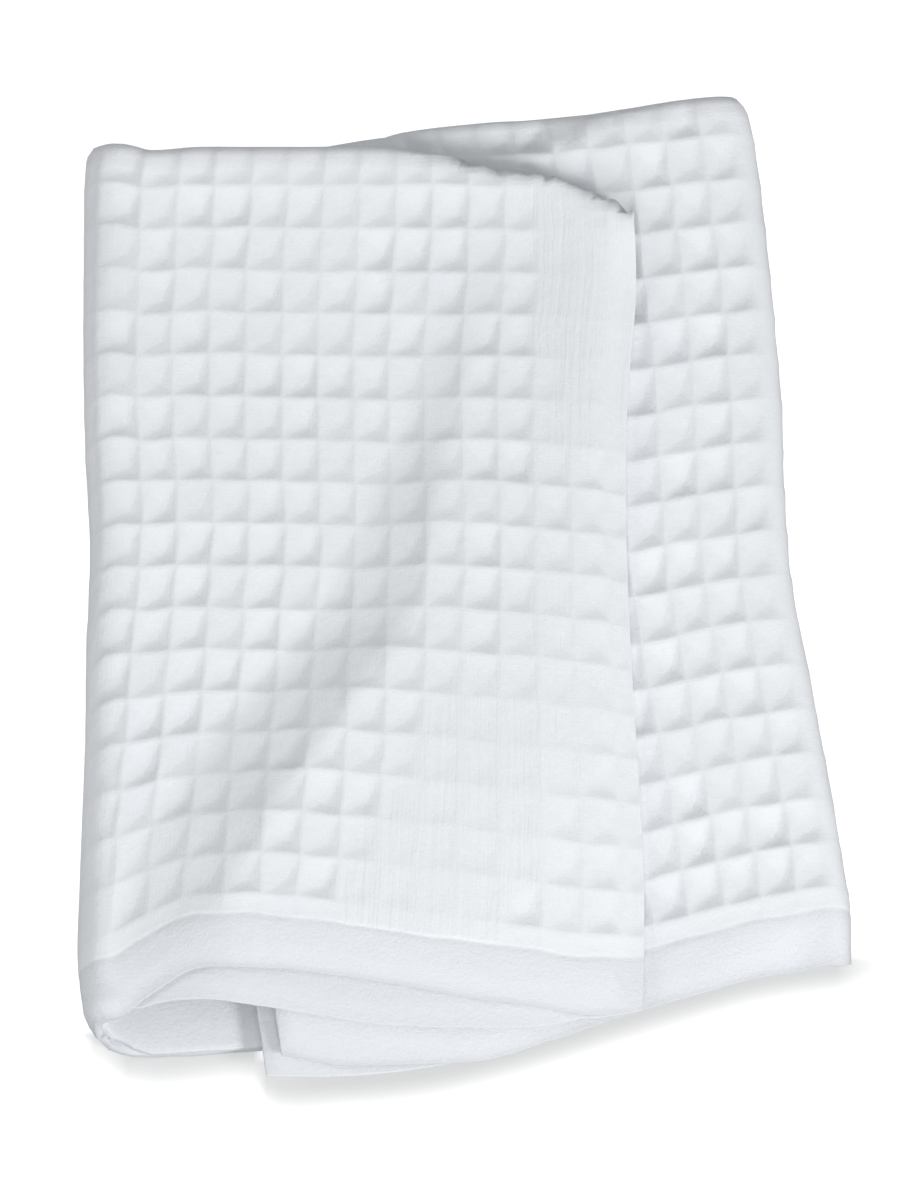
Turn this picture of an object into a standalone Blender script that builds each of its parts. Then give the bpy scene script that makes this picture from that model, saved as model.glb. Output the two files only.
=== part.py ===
"""A waffle-weave hand towel: one cloth, doubled end to end, then folded in three, lying flat."""
import math

import bmesh
import bpy

MM = 0.001

# The cloth, in millimetres. It is hemmed at both ends and has a selvage down each side.
THICKNESS = 2.2
LAYER_PITCH = 3.1
FOLD_PITCH = 4.0
FOLD_FADE = 25.0
LAYER_LENGTH = 243.0
COTTON_WHITE = (0.84, 0.86, 0.89)

# The doubled cloth, followed across from the free side of the middle panel. It runs right along
# the middle panel, round the right fold, left along the base, round the left fold and right
# along the top panel to its free side.
MIDDLE_PANEL = 144.0
RIGHT_FOLD = 10.0
BASE_PANEL = 174.0
LEFT_FOLD = 20.0
TOP_PANEL = 133.0
RIGHT_START = MIDDLE_PANEL
BASE_START = RIGHT_START + RIGHT_FOLD
LEFT_START = BASE_START + BASE_PANEL
TOP_START = LEFT_START + LEFT_FOLD
CLOTH_WIDTH = TOP_START + TOP_PANEL

# How far the middle panel's edge steps sideways from one layer to the other at the hems.
MIDDLE_EDGE_STEP = 4.0

# Where the folds and the free sides run, by the share of the way down from the top fold:
# (down, x of the left fold's centre, x of the right fold's centre, x of the middle panel's
# free side, x of the top panel's free side).
SIDES = (
    (0.00, -88.2, 67.0, -78.0, 44.0),
    (0.05, -89.6, 69.8, -77.5, 44.5),
    (0.11, -90.2, 71.8, -76.5, 44.5),
    (0.23, -90.6, 74.8, -74.0, 42.4),
    (0.35, -90.0, 77.0, -71.0, 41.9),
    (0.46, -88.6, 77.7, -68.0, 42.3),
    (0.57, -89.3, 79.6, -65.0, 43.2),
    (0.68, -89.4, 84.2, -61.0, 44.5),
    (0.84, -90.4, 90.4, -55.0, 46.0),
    (0.93, -90.7, 93.4, -51.5, 45.9),
    (1.00, -88.4, 94.3, -49.0, 45.5),
)

# Where the top fold and the hems lie, by the way across the cloth:
# (across, y of the fold, y of the outer layer's hem, y of the inner layer's hem).
ENDS = (
    (0.0, 108.0, -133.7, -138.1),
    (17.0, 111.5, -136.4, -138.2),
    (32.0, 114.5, -135.9, -137.0),
    (50.0, 120.0, -135.0, -133.8),
    (62.0, 123.6, -132.0, -131.0),
    (84.0, 126.4, -123.8, -123.2),
    (93.0, 126.9, -120.5, -120.0),
    (110.0, 128.8, -115.4, -114.8),
    (126.0, 132.0, -110.6, -110.2),
    (144.0, 134.3, -107.5, -107.2),
    (154.0, 134.3, -107.0, -107.4),
    (200.0, 128.5, -112.0, -112.6),
    (250.0, 126.2, -120.6, -121.2),
    (293.0, 119.5, -127.8, -128.3),
    (318.0, 117.6, -129.7, -130.2),
    (328.0, 118.2, -129.7, -130.2),
    (338.0, 118.6, -125.4, -126.4),
    (348.0, 117.0, -124.2, -124.5),
    (354.0, 115.4, -119.8, -121.2),
    (366.0, 116.3, -113.4, -120.4),
    (378.0, 116.3, -113.3, -121.6),
    (393.0, 116.3, -114.1, -124.0),
    (414.0, 116.3, -116.8, -127.2),
    (430.0, 114.7, -119.5, -127.7),
    (440.0, 111.6, -121.0, -127.7),
    (454.0, 109.2, -122.6, -127.2),
    (465.0, 106.2, -124.4, -124.8),
    (472.0, 103.2, -123.8, -123.8),
    (481.0, 98.4, -121.7, -121.7),
)

# The crown that the top panel makes over the panels below, down the towel:
# (y, x of its foot, x of its crest, rise at the crest, at the crease, at the free side).
CROWN = (
    (118.0, -12.0, 12.0, 0.0, 0.0, 0.4),
    (88.0, -10.0, 9.0, 0.5, 0.3, 1.4),
    (67.0, -11.0, 4.0, 2.2, 1.6, 1.6),
    (40.0, -16.0, -2.5, 4.3, 3.4, 1.5),
    (12.0, -27.0, -8.0, 6.6, 5.0, 0.9),
    (-16.0, -40.0, -13.0, 8.0, 5.8, 0.4),
    (-33.0, -52.0, -25.0, 8.7, 6.2, 0.2),
    (-54.0, -70.0, -38.0, 9.2, 6.2, 0.0),
    (-71.0, -80.0, -50.0, 9.4, 5.8, 0.0),
    (-88.0, -87.0, -57.0, 9.4, 5.2, 0.0),
    (-102.0, -88.0, -55.0, 9.2, 4.6, 0.0),
    (-124.0, -88.0, -48.0, 8.6, 3.6, 0.0),
)
CREASE_X = 19.5
CROWN_END_X = 44.5
CREST_ROUNDNESS = 1.6
MIDDLE_SETTLES_FROM = 40.0
MIDDLE_SETTLES_OVER = 30.0

# The crown is spread evenly over the stack: each layer rises a quarter more than the one below.
TOP_SHARE = 0.875
MIDDLE_SHARE = 0.375
LAYER_SHARE = 0.125

# The towel's own middle in the plan that the tables are drawn in. It becomes the origin.
PLAN_X = 0.1
PLAN_Y = -1.3

# How finely the solid is divided.
MIDDLE_FACES = 17
RIGHT_FACES = 6
BASE_FACES = 6
LEFT_FACES = 8
TOP_FACES = 21
TURN_FACES = 3
LENGTH_FACES = 17


def clear_scene():
    for thing in list(bpy.data.objects):
        bpy.data.objects.remove(thing, do_unlink=True)


def mix(start, end, share):
    return start + (end - start) * share


def ease(share):
    share = min(max(share, 0.0), 1.0)
    return share * share * (3.0 - 2.0 * share)


def read(table, place, column):
    """Round curve through one column of a table, read at a place along its first column."""
    last = len(table) - 1
    place = min(max(place, min(table[0][0], table[last][0])), max(table[0][0], table[last][0]))
    rising = table[0][0] < table[last][0]
    row = 0
    while row < last - 1 and (place > table[row + 1][0]) == rising:
        row += 1
    start, end = table[row], table[row + 1]
    before, after = table[max(row - 1, 0)], table[min(row + 2, last)]
    gap = end[0] - start[0]
    share = (place - start[0]) / gap
    slope_in = gap * (end[column] - before[column]) / (end[0] - before[0])
    slope_out = gap * (after[column] - start[column]) / (after[0] - start[0])
    square, cube = share * share, share * share * share
    return (
        (2 * cube - 3 * square + 1) * start[column]
        + (cube - 2 * square + share) * slope_in
        + (3 * square - 2 * cube) * end[column]
        + (cube - square) * slope_out
    )


def pitch(down):
    """Height from one layer's middle to the next. The stack is fatter at the top fold."""
    return LAYER_PITCH + (FOLD_PITCH - LAYER_PITCH) * math.exp(-down * LAYER_LENGTH / FOLD_FADE)


def crown(x, y):
    """Rise of the top panel over the flat stack."""
    foot, crest = read(CROWN, y, 1), read(CROWN, y, 2)
    high, crease, edge = read(CROWN, y, 3), read(CROWN, y, 4), read(CROWN, y, 5)
    climb = high * ease((x - foot) / (crest - foot))
    to_crease = min(max((x - crest) / (CREASE_X - crest), 0.0), 1.0)
    to_edge = min(max((x - CREASE_X) / (CROWN_END_X - CREASE_X), 0.0), 1.0)
    return climb - (high - crease) * to_crease**CREST_ROUNDNESS - (crease - edge) * to_edge


def across_section(across, down, part, y):
    """Place and outward direction, in x and z, of the doubled cloth's middle at one point.
    part is 1 on the outer layer, -1 on the inner one and between them round the top fold."""
    left, right = read(SIDES, down, 1), read(SIDES, down, 2)
    step = pitch(down)
    base = THICKNESS / 2 + step / 2
    if across <= RIGHT_START:
        edge = read(SIDES, down, 3) + part * MIDDLE_EDGE_STEP / 2 * down
        x = mix(edge, right, across / MIDDLE_PANEL)
        settle = 1.0 - ease((x - MIDDLE_SETTLES_FROM) / MIDDLE_SETTLES_OVER)
        lift = crown(x, y) * settle * (MIDDLE_SHARE + LAYER_SHARE * part)
        return x, base + 2 * step + lift, 0.0, 1.0
    if across < BASE_START:
        angle = math.pi * (0.5 - (across - RIGHT_START) / RIGHT_FOLD)
        out_x, out_z = math.cos(angle), math.sin(angle)
        return right + step * out_x, base + step + step * out_z, out_x, out_z
    if across <= LEFT_START:
        return mix(right, left, (across - BASE_START) / BASE_PANEL), base, 0.0, -1.0
    if across < TOP_START:
        angle = -math.pi * (0.5 + (across - LEFT_START) / LEFT_FOLD)
        out_x, out_z = math.cos(angle), math.sin(angle)
        return left + 2 * step * out_x, base + 2 * step + 2 * step * out_z, out_x, out_z
    x = mix(left, read(SIDES, down, 4), (across - TOP_START) / TOP_PANEL)
    lift = crown(x, y) * (TOP_SHARE + LAYER_SHARE * part)
    return x, base + 4 * step + lift, 0.0, 1.0


def cloth_point(across, along):
    """The cloth's middle surface. along runs from -1 at the outer hem, over 0 at the top fold,
    to 1 at the inner hem."""
    down = abs(along)
    half = pitch(0.0) / 2
    turn = half * math.pi / 2 / LAYER_LENGTH
    fold_y = read(ENDS, across, 1)
    hem_y = read(ENDS, across, 3 if along > 0 else 2)
    angle = min(down / turn, 1.0) * math.pi / 2
    if down < turn:
        y = fold_y - half + half * math.cos(angle)
    else:
        y = mix(fold_y - half, hem_y, (down - turn) / (1.0 - turn))
    part = math.copysign(math.sin(angle), -along)
    offset = part * pitch(down) / 2
    x, z, out_x, out_z = across_section(across, down, part, y)
    return (x + offset * out_x - PLAN_X) * MM, (y - PLAN_Y) * MM, (z + offset * out_z) * MM


def steps(start, length, faces):
    return [start + length * number / faces for number in range(faces)]


def across_places():
    """Places across the cloth where its faces meet, closest together round the folds."""
    return (
        steps(0.0, MIDDLE_PANEL, MIDDLE_FACES)
        + steps(RIGHT_START, RIGHT_FOLD, RIGHT_FACES)
        + steps(BASE_START, BASE_PANEL, BASE_FACES)
        + steps(LEFT_START, LEFT_FOLD, LEFT_FACES)
        + steps(TOP_START, TOP_PANEL, TOP_FACES)
        + [CLOTH_WIDTH]
    )


def along_places():
    """Places along the cloth where its faces meet, from the outer hem to the inner hem."""
    turn = pitch(0.0) / 2 * math.pi / 2 / LAYER_LENGTH
    layer = steps(0.0, turn, TURN_FACES) + steps(turn, 1.0 - turn, LENGTH_FACES) + [1.0]
    return [-place for place in reversed(layer[1:])] + layer


def cotton():
    material = bpy.data.materials.new("white_cotton")
    material.use_nodes = True
    shader = material.node_tree.nodes["Principled BSDF"]
    shader.inputs["Base Color"].default_value = (*COTTON_WHITE, 1.0)
    shader.inputs["Roughness"].default_value = 0.95
    shader.inputs["Metallic"].default_value = 0.0
    return material


def folded_cloth():
    """The towel as one sheet, laid along its folds and thickened to the cloth's real body."""
    across, along = across_places(), along_places()
    faces_across, faces_along = len(across) - 1, len(along) - 1
    shape = bmesh.new()
    bmesh.ops.create_grid(shape, x_segments=faces_across, y_segments=faces_along, size=1.0)
    for vertex in shape.verts:
        column = round((vertex.co.x + 1) / 2 * faces_across)
        row = round((vertex.co.y + 1) / 2 * faces_along)
        vertex.co = cloth_point(across[column], along[row])
    mesh = bpy.data.meshes.new("towel")
    shape.to_mesh(mesh)
    shape.free()
    towel = bpy.data.objects.new("towel", mesh)
    bpy.context.collection.objects.link(towel)
    mesh.materials.append(cotton())
    body = towel.modifiers.new("body", "SOLIDIFY")
    body.thickness = THICKNESS * MM
    body.offset = 0.0
    body.use_even_offset = True
    mesh.polygons.foreach_set("use_smooth", [True] * len(mesh.polygons))
    mesh.set_sharp_from_angle(angle=math.radians(50))
    return towel


def main():
    clear_scene()
    folded_cloth()


main()
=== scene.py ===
import math

import bmesh
import bpy
import numpy as np
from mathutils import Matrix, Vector, noise


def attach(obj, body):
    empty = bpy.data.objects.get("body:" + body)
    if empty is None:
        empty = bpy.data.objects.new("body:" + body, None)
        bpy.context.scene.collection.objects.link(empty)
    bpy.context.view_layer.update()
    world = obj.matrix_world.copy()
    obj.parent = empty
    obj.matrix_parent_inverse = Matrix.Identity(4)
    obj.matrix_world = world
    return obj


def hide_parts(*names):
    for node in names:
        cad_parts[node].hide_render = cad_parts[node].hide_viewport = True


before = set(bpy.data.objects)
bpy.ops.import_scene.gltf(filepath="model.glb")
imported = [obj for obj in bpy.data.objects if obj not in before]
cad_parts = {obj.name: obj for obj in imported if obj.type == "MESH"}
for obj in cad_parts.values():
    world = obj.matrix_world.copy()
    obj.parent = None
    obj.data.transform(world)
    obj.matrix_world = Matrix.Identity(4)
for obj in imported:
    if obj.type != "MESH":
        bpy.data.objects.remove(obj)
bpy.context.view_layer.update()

MM = 0.001

# The cloth, in millimetres, as the part's source lays it.
BODY = 2.2
LAYER_PITCH = 3.1
FOLD_PITCH = 4.0
FOLD_FADE = 25.0
LAYER_LENGTH = 243.0

# The doubled cloth, followed across from the free side of the middle panel. It runs right along
# the middle panel, round the right fold, left along the base, round the left fold and right
# along the top panel to its free side.
MIDDLE_PANEL = 144.0
RIGHT_FOLD = 10.0
BASE_PANEL = 174.0
LEFT_FOLD = 20.0
TOP_PANEL = 133.0
RIGHT_START = MIDDLE_PANEL
BASE_START = RIGHT_START + RIGHT_FOLD
LEFT_START = BASE_START + BASE_PANEL
TOP_START = LEFT_START + LEFT_FOLD
CLOTH_WIDTH = TOP_START + TOP_PANEL
MIDDLE_EDGE_STEP = 4.0

# Where the folds and the free sides run, by the share of the way down from the top fold:
# (down, x of the left fold's centre, x of the right fold's centre, x of the middle panel's
# free side, x of the top panel's free side).
SIDES = (
    (0.00, -88.2, 67.0, -78.0, 44.0),
    (0.05, -89.6, 69.8, -77.5, 44.5),
    (0.11, -90.2, 71.8, -76.5, 44.5),
    (0.23, -90.6, 74.8, -74.0, 42.4),
    (0.35, -90.0, 77.0, -71.0, 41.9),
    (0.46, -88.6, 77.7, -68.0, 42.3),
    (0.57, -89.3, 79.6, -65.0, 43.2),
    (0.68, -89.4, 84.2, -61.0, 44.5),
    (0.84, -90.4, 90.4, -55.0, 46.0),
    (0.93, -90.7, 93.4, -51.5, 45.9),
    (1.00, -88.4, 94.3, -49.0, 45.5),
)

# Where the top fold and the hems lie, by the way across the cloth:
# (across, y of the fold, y of the outer layer's hem, y of the inner layer's hem).
ENDS = (
    (0.0, 108.0, -133.7, -138.1),
    (17.0, 111.5, -136.4, -138.2),
    (32.0, 114.5, -135.9, -137.0),
    (50.0, 120.0, -135.0, -133.8),
    (62.0, 123.6, -132.0, -131.0),
    (84.0, 126.4, -123.8, -123.2),
    (93.0, 126.9, -120.5, -120.0),
    (110.0, 128.8, -115.4, -114.8),
    (126.0, 132.0, -110.6, -110.2),
    (144.0, 134.3, -107.5, -107.2),
    (154.0, 134.3, -107.0, -107.4),
    (200.0, 128.5, -112.0, -112.6),
    (250.0, 126.2, -120.6, -121.2),
    (293.0, 119.5, -127.8, -128.3),
    (318.0, 117.6, -129.7, -130.2),
    (328.0, 118.2, -129.7, -130.2),
    (338.0, 118.6, -125.4, -126.4),
    (348.0, 117.0, -124.2, -124.5),
    (354.0, 115.4, -119.8, -121.2),
    (366.0, 116.3, -113.4, -120.4),
    (378.0, 116.3, -113.3, -121.6),
    (393.0, 116.3, -114.1, -124.0),
    (414.0, 116.3, -116.8, -127.2),
    (430.0, 114.7, -119.5, -127.7),
    (440.0, 111.6, -121.0, -127.7),
    (454.0, 109.2, -122.6, -127.2),
    (465.0, 106.2, -124.4, -124.8),
    (472.0, 103.2, -123.8, -123.8),
    (481.0, 98.4, -121.7, -121.7),
)

# The crown that the top panel makes over the panels below, down the towel:
# (y, x of its foot, x of its crest, rise at the crest, at the crease, at the free side).
CROWN = (
    (118.0, -12.0, 12.0, 0.0, 0.0, 0.4),
    (88.0, -10.0, 9.0, 0.5, 0.3, 1.4),
    (67.0, -11.0, 4.0, 2.2, 1.6, 1.6),
    (40.0, -16.0, -2.5, 4.3, 3.4, 1.5),
    (12.0, -27.0, -8.0, 6.6, 5.0, 0.9),
    (-16.0, -40.0, -13.0, 8.0, 5.8, 0.4),
    (-33.0, -52.0, -25.0, 8.7, 6.2, 0.2),
    (-54.0, -70.0, -38.0, 9.2, 6.2, 0.0),
    (-71.0, -80.0, -50.0, 9.4, 5.8, 0.0),
    (-88.0, -87.0, -57.0, 9.4, 5.2, 0.0),
    (-102.0, -90.0, -64.0, 9.2, 4.6, 0.0),
    (-124.0, -90.0, -70.0, 8.6, 3.6, 0.0),
)
# Where the middle panel starts to roll down towards its top fold: (x, y).
ROLL = (
    (-30.0, 113.0),
    (-7.0, 116.0),
    (14.0, 117.0),
    (26.0, 121.6),
    (36.0, 126.4),
    (45.0, 129.6),
    (70.0, 138.0),
)
ROLL_SLOPE = 0.65
ROLL_DROP = 3.4
ROLL_REACHES = 1.5
ROLL_SHARE = 0.76
ROLL_LAYER_SHARE = 0.24
CREASE_X = 19.5
CROWN_END_X = 44.5
CREST_ROUNDNESS = 1.6
CREST_SOFT_LEAST = 0.04
CREST_SOFTENS_FROM = -84.0
CREST_SOFTENS_OVER = 30.0
CREST_SOFT_SHARE = 0.45
CLIMB_ROUNDNESS = 1.35
WEAVE_GIVES = 0.86
MIDDLE_SETTLES_FROM = 40.0
MIDDLE_SETTLES_OVER = 30.0
TOP_SHARE = 0.875
MIDDLE_SHARE = 0.375
LAYER_SHARE = 0.125
PLAN_X = 0.1
PLAN_Y = -1.3

# The waffle weave. Ridges run along both yarns round each cell, and its pit lies a little
# nearer to the right and to the hem. Heights count from the middle of the cloth's body.
CELL_ACROSS = 9.42
RIDGE_ACROSS = 343.8
CELL_DOWN = 12.42
RIDGE_DOWN = 11.7
PIT_SHARE = 0.64
RIDGE_HEIGHT = 1.45
PIT_HEIGHT = 0.1
HIDDEN_HEIGHT = 1.05
MIDDLE_DEEPER = 1.25
FIRST_ROW_DEEPER = 0.2
CELL_DEPTH_LEAST = 0.8
CELL_DEPTH_SPREAD = 0.4
END_BAND = 14.5
SEAM = LAYER_LENGTH - END_BAND
BAND_HEIGHT = 0.95
EDGE_ROUND = 0.45
HEM_THINS_OVER = 7.0
HEM_THICKNESS_SHARE = 0.42
HEM_SETTLES = 1.35
HEM_WAVES = 0.3
CORNER_WAVES = 2.0
COLUMNS_LEAN = 5.5
CELLS_START_IN = 4.0
CELLS_START_IN_FROM = 120.0
CELLS_START_IN_OVER = 80.0
FOLD_FACETS = 0.8
FOLD_END_HEIGHT = 1.35
FOLD_HEM_SHORT = 3.4
FOLD_CLOSES = 1.9
RIGHT_END_FLATTENS = 0.18
RIGHT_HEM_SHORT = 3.2
SELVAGE_SETTLES = 1.8
SELVAGE_THICKNESS_SHARE = 0.6
INNER_SELVAGE_SETTLES = 0.8
CORNER_SETTLES = 1.2
CORNER_SETTLES_FROM = 425.0
CORNER_SETTLES_OVER = 20.0
CORNER_FADE = 40.0

# The top panel's hem line if it hung straight, by the way across: its rows of cells follow it.
STRAIGHT_HEM_LEFT = -112.5
STRAIGHT_HEM_RIGHT = -122.0
# The top fold crosses the top panel's rows of cells slantwise from here to its free side.
FOLD_SLANTS_FROM = 414.0

# Where the mesh is cut within one cell: finely where the cells show, coarsely elsewhere.
FINE = (0.0, 0.09, 0.36, 0.64, 0.8, 0.93)
PLAIN = (0.0, 0.5)
COARSE = (0.0,)
# Cells are left out where the top panel covers them: up to this place across, and on the middle
# panel left of this x and below this y. Past the top fold they go on for a short way only.
COVERED_UP_TO = 52.0
COVERED_LEFT_OF = 38.0
COVERED_BELOW = 95.0
CELLS_PAST_FOLD = 6.0


def mix(start, end, share):
    return start + (end - start) * share


def ease(share):
    share = min(max(share, 0.0), 1.0)
    return share * share * (3.0 - 2.0 * share)


def read(table, place, column):
    """Round curve through one column of a table, read at a place along its first column."""
    last = len(table) - 1
    place = min(max(place, min(table[0][0], table[last][0])), max(table[0][0], table[last][0]))
    rising = table[0][0] < table[last][0]
    row = 0
    while row < last - 1 and (place > table[row + 1][0]) == rising:
        row += 1
    start, end = table[row], table[row + 1]
    before, after = table[max(row - 1, 0)], table[min(row + 2, last)]
    gap = end[0] - start[0]
    share = (place - start[0]) / gap
    slope_in = gap * (end[column] - before[column]) / (end[0] - before[0])
    slope_out = gap * (after[column] - start[column]) / (after[0] - start[0])
    square, cube = share * share, share * share * share
    return (
        (2 * cube - 3 * square + 1) * start[column]
        + (cube - 2 * square + share) * slope_in
        + (3 * square - 2 * cube) * end[column]
        + (cube - square) * slope_out
    )


def pitch(down):
    """Height from one layer's middle to the next. The stack is fatter at the top fold."""
    return LAYER_PITCH + (FOLD_PITCH - LAYER_PITCH) * math.exp(-down * LAYER_LENGTH / FOLD_FADE)


def up_to_crest(share, soft):
    """The share of the climb. It comes to 1 just past the crest, through a curve soft wide."""
    if share >= 1.0 + soft:
        return 1.0
    if share > 1.0 - soft:
        return 1.0 - (1.0 + soft - share) ** 2 / (4.0 * soft)
    return max(share, 0.0)


def crown(x, y):
    """Rise of the top panel over the flat stack. Its crest is softer in the end band."""
    foot, crest = read(CROWN, y, 1), read(CROWN, y, 2)
    high, crease, edge = read(CROWN, y, 3), read(CROWN, y, 4), read(CROWN, y, 5)
    in_band = ease((CREST_SOFTENS_FROM - y) / CREST_SOFTENS_OVER)
    soft = CREST_SOFT_LEAST + CREST_SOFT_SHARE * in_band
    climb = high * up_to_crest((x - foot) / (crest - foot), soft) ** CLIMB_ROUNDNESS
    to_crease = min(max((x - crest) / (CREASE_X - crest), 0.0), 1.0)
    to_edge = min(max((x - CREASE_X) / (CROWN_END_X - CREASE_X), 0.0), 1.0)
    rise = climb - (high - crease) * to_crease**CREST_ROUNDNESS - (crease - edge) * to_edge
    return rise * WEAVE_GIVES


def pressed(angle):
    """How far a pressed fold stands out at an angle: its round is pressed to flat facets."""
    eighth = math.pi / 4
    off = (angle + eighth / 2) % eighth - eighth / 2
    return 1.0 + FOLD_FACETS * (1.0 / math.cos(off) - 1.0)


def across_section(across, down, part, y):
    """Place and outward direction, in x and z, of the doubled cloth's middle at one point.
    part is 1 on the outer layer, -1 on the inner one and between them round the top fold."""
    left, right = read(SIDES, down, 1), read(SIDES, down, 2)
    step = pitch(down)
    base = BODY / 2 + step / 2
    if across <= RIGHT_START:
        edge = read(SIDES, down, 3) + part * MIDDLE_EDGE_STEP / 2 * down
        x = mix(edge, right, across / MIDDLE_PANEL)
        settle = 1.0 - ease((x - MIDDLE_SETTLES_FROM) / MIDDLE_SETTLES_OVER)
        lift = crown(x, y) * settle * (MIDDLE_SHARE + LAYER_SHARE * part)
        roll = min(max(y - read(ROLL, x, 1), 0.0) * ROLL_SLOPE, ROLL_DROP)
        return x, base + 2 * step + lift - roll * (ROLL_SHARE + ROLL_LAYER_SHARE * part), 0.0, 1.0
    if across < BASE_START:
        angle = math.pi * (0.5 - (across - RIGHT_START) / RIGHT_FOLD)
        out_x, out_z = math.cos(angle), math.sin(angle)
        return right + step * out_x, base + step + step * out_z, out_x, out_z
    if across <= LEFT_START:
        return mix(right, left, (across - BASE_START) / BASE_PANEL), base, 0.0, -1.0
    if across < TOP_START:
        angle = -math.pi * (0.5 + (across - LEFT_START) / LEFT_FOLD)
        out_x, out_z = math.cos(angle) * pressed(angle), math.sin(angle) * pressed(angle)
        return left + 2 * step * out_x, base + 2 * step + 2 * step * out_z, out_x, out_z
    x = mix(left, read(SIDES, down, 4), (across - TOP_START) / TOP_PANEL)
    lift = crown(x, y) * (TOP_SHARE + LAYER_SHARE * part)
    corner = CORNER_SETTLES * ease((across - CORNER_SETTLES_FROM) / CORNER_SETTLES_OVER)
    lift -= corner * math.exp(-down * LAYER_LENGTH / CORNER_FADE)
    return x, base + 4 * step + lift, 0.0, 1.0


def level_rows(across, share):
    """Keeps the top panel's rows of cells level where its hem hangs lower than a straight one."""
    straight = mix(STRAIGHT_HEM_LEFT, STRAIGHT_HEM_RIGHT, (across - TOP_START) / TOP_PANEL)
    low = read(ENDS, across, 2) - straight
    return low * (share**3 - share) * ease((across - TOP_START + 10.0) / 10.0)


def from_fold(across, along):
    """Way from the top fold, from -1 at the outer hem to 1 at the inner one, of a place that is
    counted in rows of cells. The slanting fold takes some rows on to the inner layer."""
    taken = 0.0
    if across > FOLD_SLANTS_FROM:
        taken = max(read(ENDS, FOLD_SLANTS_FROM, 1) - read(ENDS, across, 1), 0.0)
    if along < -taken:
        return (along + taken) / (LAYER_LENGTH - taken)
    return (along + taken) / (LAYER_LENGTH + taken)


def cloth_point(across, along):
    """The cloth's middle surface. along runs from -1 at the outer hem, over 0 at the top fold,
    to 1 at the inner hem."""
    down = abs(along)
    half = pitch(0.0) / 2
    turn = half * math.pi / 2 / LAYER_LENGTH
    fold_y = read(ENDS, across, 1)
    fold_y += ROLL_REACHES * ease((across - 45.0) / 15.0) * ease((125.0 - across) / 20.0)
    hem_y = read(ENDS, across, 3 if along > 0 else 2)
    angle = min(down / turn, 1.0) * math.pi / 2
    if down < turn:
        y = fold_y - half + half * math.cos(angle)
    else:
        share = (down - turn) / (1.0 - turn)
        y = mix(fold_y - half, hem_y, share) + level_rows(across, share)
    part = math.copysign(math.sin(angle), -along)
    offset = part * pitch(down) / 2
    x, z, out_x, out_z = across_section(across, down, part, y)
    return (x + offset * out_x - PLAN_X) * MM, (y - PLAN_Y) * MM, (z + offset * out_z) * MM


# Shader sums are written with this socket wrapper. An expression adds its own Math nodes.
class Wire:
    def __init__(self, finish, socket):
        self.finish = finish
        self.socket = socket

    def sum(self, operation, *values):
        return self.finish.node("ShaderNodeMath", {"operation": operation}, dict(enumerate(values)))

    def __add__(self, other):
        return self.sum("ADD", self, other)

    def __sub__(self, other):
        return self.sum("SUBTRACT", self, other)

    def __rsub__(self, other):
        return self.sum("SUBTRACT", other, self)

    def __mul__(self, other):
        return self.sum("MULTIPLY", self, other)

    def __truediv__(self, other):
        return self.sum("DIVIDE", self, other)

    def absolute(self):
        return self.sum("ABSOLUTE", self)

    def in_cell(self, ridge, cell):
        """How deep one yarn lies, as in the shape: 0 on the ridges, 1 over the pit."""
        share = self.sum("FRACT", (self - ridge * MM) / (cell * MM))
        return self.sum("MINIMUM", share / PIT_SHARE, (1 - share) / (1 - PIT_SHARE))

    def wave(self, turns):
        """Even wave from 0 to 1, once for each whole turn."""
        return self.sum("COSINE", self * (turns * 2 * math.pi)) * 0.5 + 0.5

    def ramp(self, low, high):
        """Smooth step from 0 below low to 1 above high."""
        return self.finish.node(
            "ShaderNodeMapRange",
            {"interpolation_type": "SMOOTHSTEP"},
            {"Value": self, "From Min": low, "From Max": high},
        )


class Finish:
    """A material built from expressions: its nodes all come from one method."""

    def __init__(self, name):
        self.material = bpy.data.materials.new(name)
        self.material.use_nodes = True
        self.tree = self.material.node_tree
        self.shader = self.tree.nodes["Principled BSDF"]

    def node(self, kind, settings=None, values=None, output=0):
        made = self.tree.nodes.new(kind)
        for name, value in (settings or {}).items():
            setattr(made, name, value)
        for name, value in (values or {}).items():
            self.feed(made.inputs[name], value)
        return Wire(self, made.outputs[output])

    def feed(self, socket, value):
        if isinstance(value, Wire):
            self.tree.links.new(value.socket, socket)
        else:
            socket.default_value = value

    def set(self, **values):
        for name, value in values.items():
            self.feed(self.shader.inputs[name.replace("_", " ")], value)

    def split(self, vector):
        made = self.tree.nodes.new("ShaderNodeSeparateXYZ")
        self.tree.links.new(vector.socket, made.inputs[0])
        return [Wire(self, output) for output in made.outputs]

    def grain(self, place, size, detail=2.0, roughness=0.5):
        """Noise from 0 to 1, whose blobs are about size across, in metres."""
        values = {"Vector": place, "Scale": 1.0 / size, "Detail": detail, "Roughness": roughness}
        return self.node("ShaderNodeTexNoise", {}, values)

    def level(self, share, first, second):
        return first * (1 - share) + second * share

    def blend(self, share, first, second):
        made = self.tree.nodes.new("ShaderNodeMix")
        made.data_type = "RGBA"
        self.feed(made.inputs["Factor"], share)
        self.feed(made.inputs[6], first)
        self.feed(made.inputs[7], second)
        return Wire(self, made.outputs[2])


WHITE = (0.88, 0.894, 0.914, 1.0)
SHADE_WHITE = (0.845, 0.862, 0.888, 1.0)
BAND_WHITE = (0.795, 0.812, 0.84, 1.0)
# Painted shade laid along the hems' turned edges, standing in for the thin shadow each edge casts on the
# layer below.
HEM_PAINTED_SHADE = (0.52, 0.54, 0.58, 1.0)
HEM_PAINTED_SHADE_SHARE = 0.5

# The bump that the shader adds to the shape. Heights in it count in bump distances.
BUMP_STRENGTH = 0.55
BUMP_DISTANCE = 0.6
PIT_CRISPNESS = 0.75
STREAK_HEIGHT = 1.5
STREAK_SIZE = 0.0016


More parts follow.
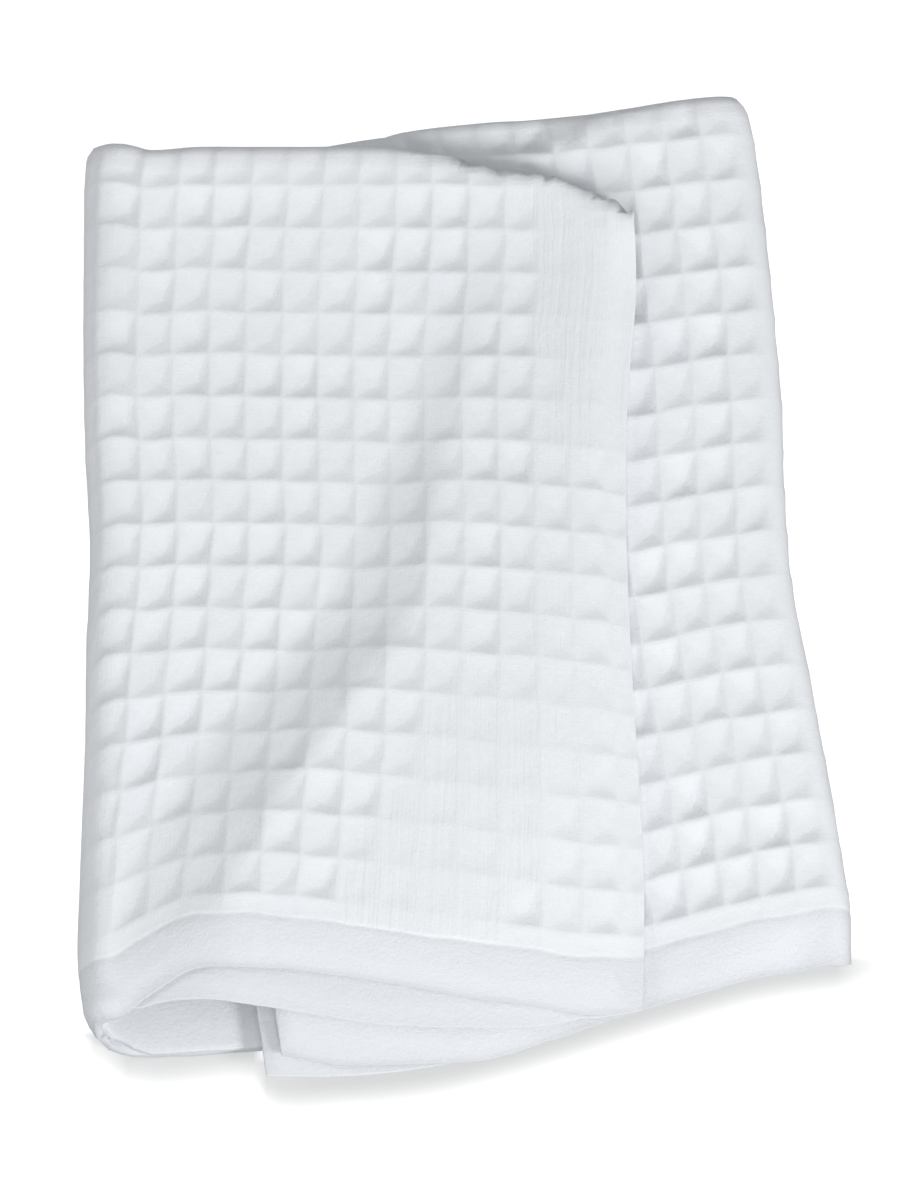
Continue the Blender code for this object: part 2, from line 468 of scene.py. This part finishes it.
def waffle_cotton():
    """Soft white cotton: yarns along the weave in the cells, a finer plain weave in the bands, and a
    painted shade along the hems' edges.
    """
    finish = Finish("waffle_cotton")
    place = finish.node("ShaderNodeTexCoord", output=3)
    weave = finish.node("ShaderNodeUVMap", {"uv_map": "weave"})
    across, along, _ = finish.split(weave)
    down = along.absolute()
    band = down.ramp((SEAM - 0.6) * MM, (SEAM + 0.4) * MM)
    yarns = across.wave(1 / (0.95 * MM)) * 0.6 + along.wave(1 / (0.95 * MM)) * 0.4
    threads = across.wave(1 / (0.55 * MM)) * along.wave(1 / (0.5 * MM))
    fluff = finish.grain(place, 0.0009, 3.0, 0.65)
    soft = finish.grain(place, 0.004, 2.0)
    relief = finish.node("ShaderNodeAttribute", {"attribute_name": "relief"}, output=2)
    pits = across.in_cell(RIDGE_ACROSS, CELL_ACROSS)
    pits = pits.sum("MINIMUM", pits, down.in_cell(RIDGE_DOWN, CELL_DOWN)) * relief
    pulled = finish.node("ShaderNodeAttribute", {"attribute_name": "pulled"}, output=2)
    # The hem attribute carries the painted shade along the hems' edges.
    hem = finish.node("ShaderNodeAttribute", {"attribute_name": "hem"}, output=2)
    drawn = finish.node("ShaderNodeCombineXYZ", {}, {"X": across, "Y": along * 0.03})
    streaks = finish.grain(drawn, STREAK_SIZE, 3.0, 0.6)
    cells = yarns * 0.06 + fluff * 0.3 + pulled * streaks * STREAK_HEIGHT
    bands = threads * 0.08 + fluff * 0.6
    height = finish.level(band, cells, bands) + soft * 0.45 - pits * PIT_CRISPNESS
    values = {"Height": height, "Strength": BUMP_STRENGTH, "Distance": BUMP_DISTANCE * MM}
    bump = finish.node("ShaderNodeBump", {}, values)
    tone = finish.grain(place, 0.03, 2.0) * 0.5 + fluff * 0.5
    cloth = finish.blend(tone.ramp(0.35, 0.7), SHADE_WHITE, WHITE)
    cloth = finish.blend(band, cloth, BAND_WHITE)
    # The base colour takes the painted hem shade over the cloth's own white.
    finish.set(
        Base_Color=finish.blend(hem * HEM_PAINTED_SHADE_SHARE, cloth, HEM_PAINTED_SHADE),
        Roughness=0.95,
        Normal=bump,
        Sheen_Weight=0.15,
        Sheen_Roughness=0.6,
        Specular_IOR_Level=0.2,
    )
    return finish.material


def cell_edges(first, last, ridge, cell, parts_of):
    """Places where faces meet from first to last, by the cuts within each cell."""
    places = [first]
    number = math.floor((first - ridge) / cell)
    while ridge + number * cell < last:
        start = ridge + number * cell
        places += [start + cell * part for part in parts_of(start + cell / 2)]
        number += 1
    inside = sorted(place for place in places if first + 0.3 < place < last - 0.3)
    return [first] + inside + [last]


def rounded_ends(places):
    """Adds the close rows that let a free edge turn over roundly."""
    near = (0.1, 0.35)
    inner = [place for place in places[1:-1] if places[0] + 0.8 < place < places[-1] - 0.8]
    starts = [places[0] + gap for gap in near]
    ends = [places[-1] - gap for gap in reversed(near)]
    return [places[0]] + starts + inner + ends + [places[-1]]


def across_parts(across):
    """The cells that show are cut finely, those under the top panel and the base coarsely."""
    if across < COVERED_UP_TO:
        return COARSE
    if BASE_START + 4.0 < across < LEFT_START - 4.0:
        return PLAIN
    return FINE


def across_places():
    """Columns from the middle panel's free side to the top panel's, in millimetres."""
    return rounded_ends(cell_edges(0.0, CLOTH_WIDTH, RIDGE_ACROSS, CELL_ACROSS, across_parts))


def along_places():
    """Rows from the outer hem to the inner hem, in millimetres along the cloth."""
    outer = cell_edges(0.0, SEAM - 0.6, RIDGE_DOWN, CELL_DOWN, lambda down: FINE)
    inner = cell_edges(0.0, SEAM - 0.6, RIDGE_DOWN, CELL_DOWN, lambda down: COARSE if down > 8 else FINE)
    band = [SEAM, SEAM + 0.7] + [SEAM + END_BAND * part / 9 for part in range(1, 10)]
    rows = [-place for place in reversed(outer[1:] + band)] + inner + band
    return rounded_ends(rows)


def wobble(across, along, seed, size):
    """Smooth unevenness from about -1 to 1, the same each time, with bumps about size across."""
    return noise.noise(Vector((across / size, along / size, seed)))


# Where the top panel's cells are pulled flat, in the plan: (x of its middle, y of its middle,
# half width, half depth, lean of its sides, how flat).
PULLED = (
    (33.0, 66.0, 16.0, 44.0, 0.0, 0.86),
    (2.0, -72.0, 26.0, 42.0, 0.5, 0.75),
    (32.0, -40.0, 16.0, 64.0, 0.0, 0.4),
)
SLOPE_SMOOTHS = 0.4


def pulled_flat(x, y):
    """How flat the cloth is pulled at a place, from 0 to 1."""
    flat = 0.0
    for middle_x, middle_y, wide, deep, lean, share in PULLED:
        sideways = (x - middle_x - lean * (y - middle_y) + 5.0 * wobble(x, y, 21.0, 14.0)) / wide
        lengthways = (y - middle_y + 12.0 * wobble(x, y, 23.0, 14.0)) / deep
        flat = max(flat, share * ease((1.2 - max(abs(sideways), abs(lengthways))) / 0.5))
    return flat


def on_slope(x, y):
    """1 on the side of the crown that faces left, 0 beside it."""
    foot, crest = read(CROWN, y, 1), read(CROWN, y, 2)
    return ease((x - foot + 4.0) / 6.0) * ease((crest - x) / 3.0) * ease((90.0 - y) / 40.0)


def in_cell(place, ridge, cell):
    """How deep one yarn lies: 0 on the ridges, 1 over the pit."""
    share = (place - ridge) / cell % 1.0
    return min(share / PIT_SHARE, (1.0 - share) / (1.0 - PIT_SHARE))


def stretch(across, along):
    """1 where the cloth lies flat, nearly 0 where a fold pulls its cells smooth."""
    down = abs(from_fold(across, along)) * LAYER_LENGTH
    across -= lean(across, down)
    if across > LEFT_START + 2.0:
        across -= CELLS_START_IN * ease((down - CELLS_START_IN_FROM) / CELLS_START_IN_OVER)
    left = ease((LEFT_START - 2.0 - across) / 4.0) + ease((across - LEFT_START - 13.0) / 3.5)
    right = ease((RIGHT_START + 1.0 - across) / 4.0) + ease((across - BASE_START) / 4.0)
    return (0.12 + 0.88 * left) * (0.3 + 0.7 * right) * (0.25 + 0.75 * ease((down - 1.5) / 4.0))


def relief_at(across, along, x, y):
    """How deep the waffle is pressed at a place: 0 where the cloth is plain or covered."""
    under_top = across < RIGHT_START and x < COVERED_LEFT_OF and y < COVERED_BELOW
    past_fold = from_fold(across, along) * LAYER_LENGTH > CELLS_PAST_FOLD
    if across < COVERED_UP_TO or under_top or past_fold:
        return 0.0
    down = abs(along)
    deep = stretch(across, along) * (0.15 + 0.85 * ease((SEAM - 4.0 - down) / 1.6))
    if across > TOP_START:
        deep *= (1.0 - pulled_flat(x, y)) * (1.0 - SLOPE_SMOOTHS * on_slope(x, y))
    elif across < RIGHT_START:
        deep *= MIDDLE_DEEPER + FIRST_ROW_DEEPER * ease((RIDGE_DOWN + 2.0 - down) / 3.0)
    return deep


def waffle_height(across, along, deep):
    """Height of the cloth's face over its middle: ridges round each cell, a pit inside it."""
    down = abs(along)
    depth = min(in_cell(across, RIDGE_ACROSS, CELL_ACROSS), in_cell(down, RIDGE_DOWN, CELL_DOWN))
    column = math.floor((across - RIDGE_ACROSS) / CELL_ACROSS)
    row = math.floor((down - RIDGE_DOWN) / CELL_DOWN)
    own = CELL_DEPTH_LEAST + CELL_DEPTH_SPREAD * noise.cell(Vector((column, row, 1.0)))
    level = mix(HIDDEN_HEIGHT, RIDGE_HEIGHT, min(deep, 1.0))
    return level - (RIDGE_HEIGHT - PIT_HEIGHT) * deep * depth * own


def face_height(across, along, deep):
    """Height of the face over the cloth's middle: waffle, then the groove of the seam, then band."""
    down = abs(along)
    into_band = ease((down - SEAM + 0.6) / 1.2)
    waffle = waffle_height(across, along, deep)
    if BASE_START < across < LEFT_START:
        waffle = min(waffle, BODY / 2)
    band = min(BAND_HEIGHT + 0.15 * wobble(across, along, 11.0, 9.0), BODY / 2)
    groove = 0.18 * math.exp(-(((down - SEAM) / 0.6) ** 2))
    return mix(waffle, band, into_band) - groove


def edge_round(across, along):
    """Share of the cloth's body that is left at its free edges, which turn over roundly."""
    to_edge = min(across, CLOTH_WIDTH - across, LAYER_LENGTH - abs(along))
    share = min(max(to_edge / EDGE_ROUND, 0.0), 1.0)
    to_hem = ease((LAYER_LENGTH - abs(along)) / HEM_THINS_OVER)
    thin = mix(1.0, HEM_THICKNESS_SHARE, (1.0 - to_hem) * upper_panel(across))
    thin *= mix(1.0, SELVAGE_THICKNESS_SHARE, at_selvage(across) * to_hem)
    thin *= 1.0 - 0.5 * right_end(across, along)
    return (0.25 + 0.75 * math.sqrt(1.0 - (1.0 - share) ** 2)) * thin


def at_selvage(across):
    """1 at the top panel's free side, where its two selvages lie close together."""
    return ease((across - CLOTH_WIDTH + 9.0) / 8.0)


def right_end(across, along):
    """1 at the hem end of the right fold, which lies flattened."""
    beside = ease((across - RIGHT_START + 36.0) / 34.0) * ease((BASE_START + 22.0 - across) / 16.0)
    return beside * ease((abs(along) - LAYER_LENGTH + 16.0) / 16.0)


def hem_painted_shade(across, along):
    """Share of painted shade at a hem's turned edge, standing in for the thin shadow under it: 1 on the
    outer layer's hem, half on the inner one, 0 away from it.
    """
    near = 1.0 - ease((LAYER_LENGTH - abs(along)) / 1.0)
    return near * (1.0 if along < 0.0 else 0.5)


def upper_panel(across):
    """1 on the top and middle panels, 0 on the base and round the folds."""
    return ease((across - LEFT_START - 14.0) / 10.0) + ease((RIGHT_START - across) / 10.0)


def hem_settles(across, along):
    """How far the outer layer sinks on to the inner one at the hems of the upper panels."""
    way = from_fold(across, along) * LAYER_LENGTH
    if way > 0.0:
        inner = ease((way - 2.0) / 8.0) * ease((LAYER_LENGTH - way) / 20.0)
        return -INNER_SELVAGE_SETTLES * at_selvage(across) * inner
    selvage = INNER_SELVAGE_SETTLES + SELVAGE_SETTLES
    selvage *= at_selvage(across) * ease((-way - 1.0) / 24.0)
    near = ease((abs(along) - LAYER_LENGTH + END_BAND) / END_BAND)
    round_fold = ease((abs(along) - LAYER_LENGTH + 5.0) / 5.0) * at_left_fold(across)
    return max(HEM_SETTLES * near * upper_panel(across), FOLD_CLOSES * round_fold, selvage)


def back_height(across, along):
    """The back skin. At the left fold's end the two layers lie together."""
    near = ease((abs(along) - LAYER_LENGTH + 10.0) / 8.0)
    return -mix(HIDDEN_HEIGHT, FOLD_END_HEIGHT, near * max(at_left_fold(across), at_right_fold(across)))


def at_left_fold(across):
    return ease((across - LEFT_START + 6.0) / 6.0) * ease((TOP_START + 6.0 - across) / 8.0)


def at_right_fold(across):
    return ease((across - RIGHT_START + 6.0) / 6.0) * ease((BASE_START + 6.0 - across) / 6.0)


def lean(across, down):
    """How far the top panel's columns of cells lean to the left, low down on the towel."""
    amount = COLUMNS_LEAN * ease((down / LAYER_LENGTH - 0.4) / 0.55)
    amount *= ease((LAYER_LENGTH - 2.0 - down) / 12.0)
    return amount * ease((across - LEFT_START + 14.0) / 20.0) * ease((CLOTH_WIDTH - across) / 70.0)


def laid(across, along):
    """The cloth's middle with its threads a little uneven, so that no two cells are alike."""
    inside = ease(min(across, CLOTH_WIDTH - across, LAYER_LENGTH - abs(along)) / 8.0)
    sideways = 0.4 * wobble(across, along, 3.0, 24.0) + 0.6 * wobble(across, along, 5.0, 8.0)
    lengthways = 0.4 * wobble(across, along, 7.0, 24.0) + 0.6 * wobble(across, along, 9.0, 8.0)
    moved = from_fold(across, along) * LAYER_LENGTH
    moved += lengthways * inside * ease(abs(moved) / 8.0)
    place = across + sideways * inside - lean(across, abs(moved))
    x, y, z = cloth_point(place, moved / LAYER_LENGTH)
    near_hem = ease((abs(along) - LAYER_LENGTH + 4.0) / 4.0)
    waves = wobble(across, math.copysign(3.0, along), 13.0, 3.2) + wobble(across, along, 15.0, 9.0)
    short = FOLD_HEM_SHORT * max(at_left_fold(across), at_right_fold(across))
    short *= ease(along / LAYER_LENGTH * 8.0 - 7.0)
    tucked = RIGHT_HEM_SHORT * ease((across - 146.0) / 8.0) * ease((205.0 - across) / 25.0)
    short = max(short, tucked * ease(abs(along) / LAYER_LENGTH * 8.0 - 7.0))
    ragged = ease((across - 428.0) / 12.0) * ease((6.0 - abs(moved)) / 4.0)
    ragged *= CORNER_WAVES * wobble(across, 1.0, 17.0, 2.4)
    z *= 1.0 - RIGHT_END_FLATTENS * right_end(across, along)
    return x, y + (HEM_WAVES * waves * near_hem + short + ragged) * MM, z


def waffle_cloth():
    """The towel as one sheet with a face and a back, its waffle pressed into the face."""
    across, along = across_places(), along_places()
    columns, rows = len(across), len(along)
    middle = np.array([[laid(a, b) for b in along] for a in across])
    outward = np.cross(np.gradient(middle, axis=0), np.gradient(middle, axis=1))
    outward /= np.linalg.norm(outward, axis=2, keepdims=True)

    shape = bmesh.new()
    bmesh.ops.create_grid(shape, x_segments=columns - 1, y_segments=rows - 1, size=1.0)
    column_of = shape.verts.layers.int.new("column")
    row_of = shape.verts.layers.int.new("row")
    pulled = shape.verts.layers.float.new("pulled")
    # The hem attribute holds the painted shade along the hems' edges.
    hem = shape.verts.layers.float.new("hem")
    relief = shape.verts.layers.float.new("relief")
    for vertex in shape.verts:
        vertex[column_of] = round((vertex.co.x + 1) / 2 * (columns - 1))
        vertex[row_of] = round((vertex.co.y + 1) / 2 * (rows - 1))
    copied = bmesh.ops.duplicate(shape, geom=shape.verts[:] + shape.edges[:] + shape.faces[:])
    back = [item for item in copied["geom"] if isinstance(item, bmesh.types.BMVert)]
    back_faces = [item for item in copied["geom"] if isinstance(item, bmesh.types.BMFace)]
    in_back = set(back)
    for vertex in shape.verts:
        a, b = across[vertex[column_of]], along[vertex[row_of]]
        point = middle[vertex[column_of], vertex[row_of]]
        direction = outward[vertex[column_of], vertex[row_of]]
        x, y = point[0] / MM + PLAN_X, point[1] / MM + PLAN_Y
        vertex[pulled] = pulled_flat(x, y) if a > TOP_START and b < 0.0 else 0.0
        # Painted shade along the hems' edges, standing in for the shadow under them.
        vertex[hem] = hem_painted_shade(a, b)
        deep = 0.0 if vertex in in_back else relief_at(a, b, x, y)
        vertex[relief] = deep * (1.0 if abs(b) < SEAM - 1.0 else 0.0)
        height = back_height(a, b) if vertex in in_back else face_height(a, b, deep)
        height = height * edge_round(a, b) - hem_settles(a, b)
        vertex.co = point + direction * height * MM
    bmesh.ops.reverse_faces(shape, faces=back_faces)
    rims = [edge for edge in shape.edges if edge.is_boundary]
    bmesh.ops.bridge_loops(shape, edges=rims)
    weave = shape.loops.layers.uv.new("weave")
    for face in shape.faces:
        face.smooth = True
        for loop in face.loops:
            a, b = across[loop.vert[column_of]], along[loop.vert[row_of]]
            loop[weave].uv = (a * MM, b * MM)
    bmesh.ops.recalc_face_normals(shape, faces=shape.faces[:])
    return finished("waffle_cloth", shape, waffle_cotton())


def finished(name, shape, material):
    """Makes the object of a shape, with its material."""
    mesh = bpy.data.meshes.new(name)
    shape.to_mesh(mesh)
    shape.free()
    mesh.materials.append(material)
    piece = bpy.data.objects.new(name, mesh)
    bpy.context.collection.objects.link(piece)
    return piece


# The floor glows white, as in the photograph, and is shaded softly in front of the hems. The
# table holds the line of the hems on the floor, in millimetres: (x, y).
FLOOR_GLOW = 0.75
SHADE_KEEPS = 0.5
SHADE_REACH = 15.0
FLOOR_EDGE = (
    (-91.0, -124.0),
    (-86.0, -129.0),
    (-76.0, -129.5),
    (-54.5, -128.0),
    (-50.0, -135.0),
    (-32.0, -135.0),
    (-10.0, -132.5),
    (9.0, -127.5),
    (35.0, -119.0),
    (61.0, -110.5),
    (77.0, -106.0),
    (99.0, -103.0),
)

# The floor's grid, in metres: half its closely cut width and depth, half its whole size, and how
# far its middle lies in front of the towel's.
FLOOR_CLOSE_WIDTH = 0.13
FLOOR_CLOSE_DEPTH = 0.07
FLOOR_FAR = 4.0
FLOOR_FORWARD = 0.12


def floor_place(share, close, far):
    """Spreads the floor's rows: close together near the towel, wide apart further off."""
    return close * share + (far - close) * share**7


def shade_at(x, y):
    """How much light the floor keeps at a place, in millimetres, in front of the hems."""
    gone = read(FLOOR_EDGE, x, 1) - y
    beside = max(FLOOR_EDGE[0][0] - x, x - FLOOR_EDGE[-1][0], 0.0)
    near = 1.0 - ease((gone - 0.6 * beside + 8.0) / 8.0)
    kept = 1.0 - (1.0 - SHADE_KEEPS) * (1.0 - ease(math.hypot(max(gone, 0.0), beside) / SHADE_REACH))
    return max(kept, near)


def floor():
    """The staged floor, finely cut near the towel so that its painted shade is smooth."""
    shape = bmesh.new()
    bmesh.ops.create_grid(shape, x_segments=120, y_segments=200, size=1.0)
    shade = shape.verts.layers.float.new("shade")
    for vertex in shape.verts:
        vertex.co.x = floor_place(vertex.co.x, FLOOR_CLOSE_WIDTH, FLOOR_FAR)
        vertex.co.y = floor_place(vertex.co.y, FLOOR_CLOSE_DEPTH, FLOOR_FAR) - FLOOR_FORWARD
        vertex[shade] = shade_at(vertex.co.x / MM, vertex.co.y / MM)
    finish = Finish("white_floor")
    kept = finish.node("ShaderNodeAttribute", {"attribute_name": "shade"}, output=2)
    black = (0.0, 0.0, 0.0, 1.0)
    tone = finish.blend(kept, black, (0.8, 0.8, 0.8, 1.0))
    glow = finish.blend(kept, black, (1.0, 1.0, 1.0, 1.0))
    finish.set(Base_Color=tone, Roughness=0.9, Emission_Color=glow)
    finish.shader.inputs["Emission Strength"].default_value = FLOOR_GLOW
    piece = finished("floor", shape, finish.material)
    piece.visible_diffuse = False
    return piece


# The studio, in metres and degrees: (name, turn from the right towards the back, height angle,
# distance, width of the light, power in watts).
LIGHTS = (
    ("key", -42.0, 31.0, 2.2, 0.5, 24.5),
    ("front_fill", -88.0, 40.0, 2.2, 1.1, 14.0),
    ("left_fill", 184.0, 38.0, 2.2, 1.4, 9.0),
)
ROOM_LIGHT = 0.36


def lights():
    for name, turn, height, distance, width, power in LIGHTS:
        lamp = bpy.data.lights.new(name, "AREA")
        lamp.shape = "DISK"
        lamp.size = width
        lamp.energy = power
        stand = bpy.data.objects.new(name, lamp)
        turn, height = math.radians(turn), math.radians(height)
        direction = Vector(
            (math.cos(turn) * math.cos(height), math.sin(turn) * math.cos(height), math.sin(height))
        )
        stand.location = direction * distance
        stand.rotation_euler = direction.to_track_quat("Z", "Y").to_euler()
        bpy.context.collection.objects.link(stand)
    world = bpy.data.worlds.new("room")
    world.use_nodes = True
    world.node_tree.nodes["Background"].inputs["Color"].default_value = (0.96, 0.98, 1.0, 1.0)
    world.node_tree.nodes["Background"].inputs["Strength"].default_value = ROOM_LIGHT
    bpy.context.scene.world = world


# The camera looks along +Y and down, from far off, at the photograph's angle.
CAMERA_HEIGHT_ANGLE = 68.0
CAMERA_DISTANCE = 4.0
FRAME_HEIGHT = 0.312
AIM = Vector((-0.0040, -0.0015, 0.0))


def camera():
    lens = bpy.data.cameras.new("camera")
    lens.sensor_fit = "VERTICAL"
    lens.sensor_height = 36.0
    lens.lens = lens.sensor_height * CAMERA_DISTANCE / FRAME_HEIGHT
    lens.clip_end = 20.0
    view = bpy.data.objects.new("camera", lens)
    tilt = math.radians(CAMERA_HEIGHT_ANGLE)
    away = Vector((0.0, -math.cos(tilt), math.sin(tilt)))
    view.location = AIM + away * CAMERA_DISTANCE
    view.rotation_euler = away.to_track_quat("Z", "Y").to_euler()
    bpy.context.collection.objects.link(view)
    bpy.context.scene.camera = view


def dress():
    """Puts the waffle cloth in the place of the towel's solid."""
    cloth = waffle_cloth()
    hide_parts("towel")
    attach(cloth, "root")


camera()
lights()
floor()
dress()
bpy.context.scene.view_settings.view_transform = "Standard"
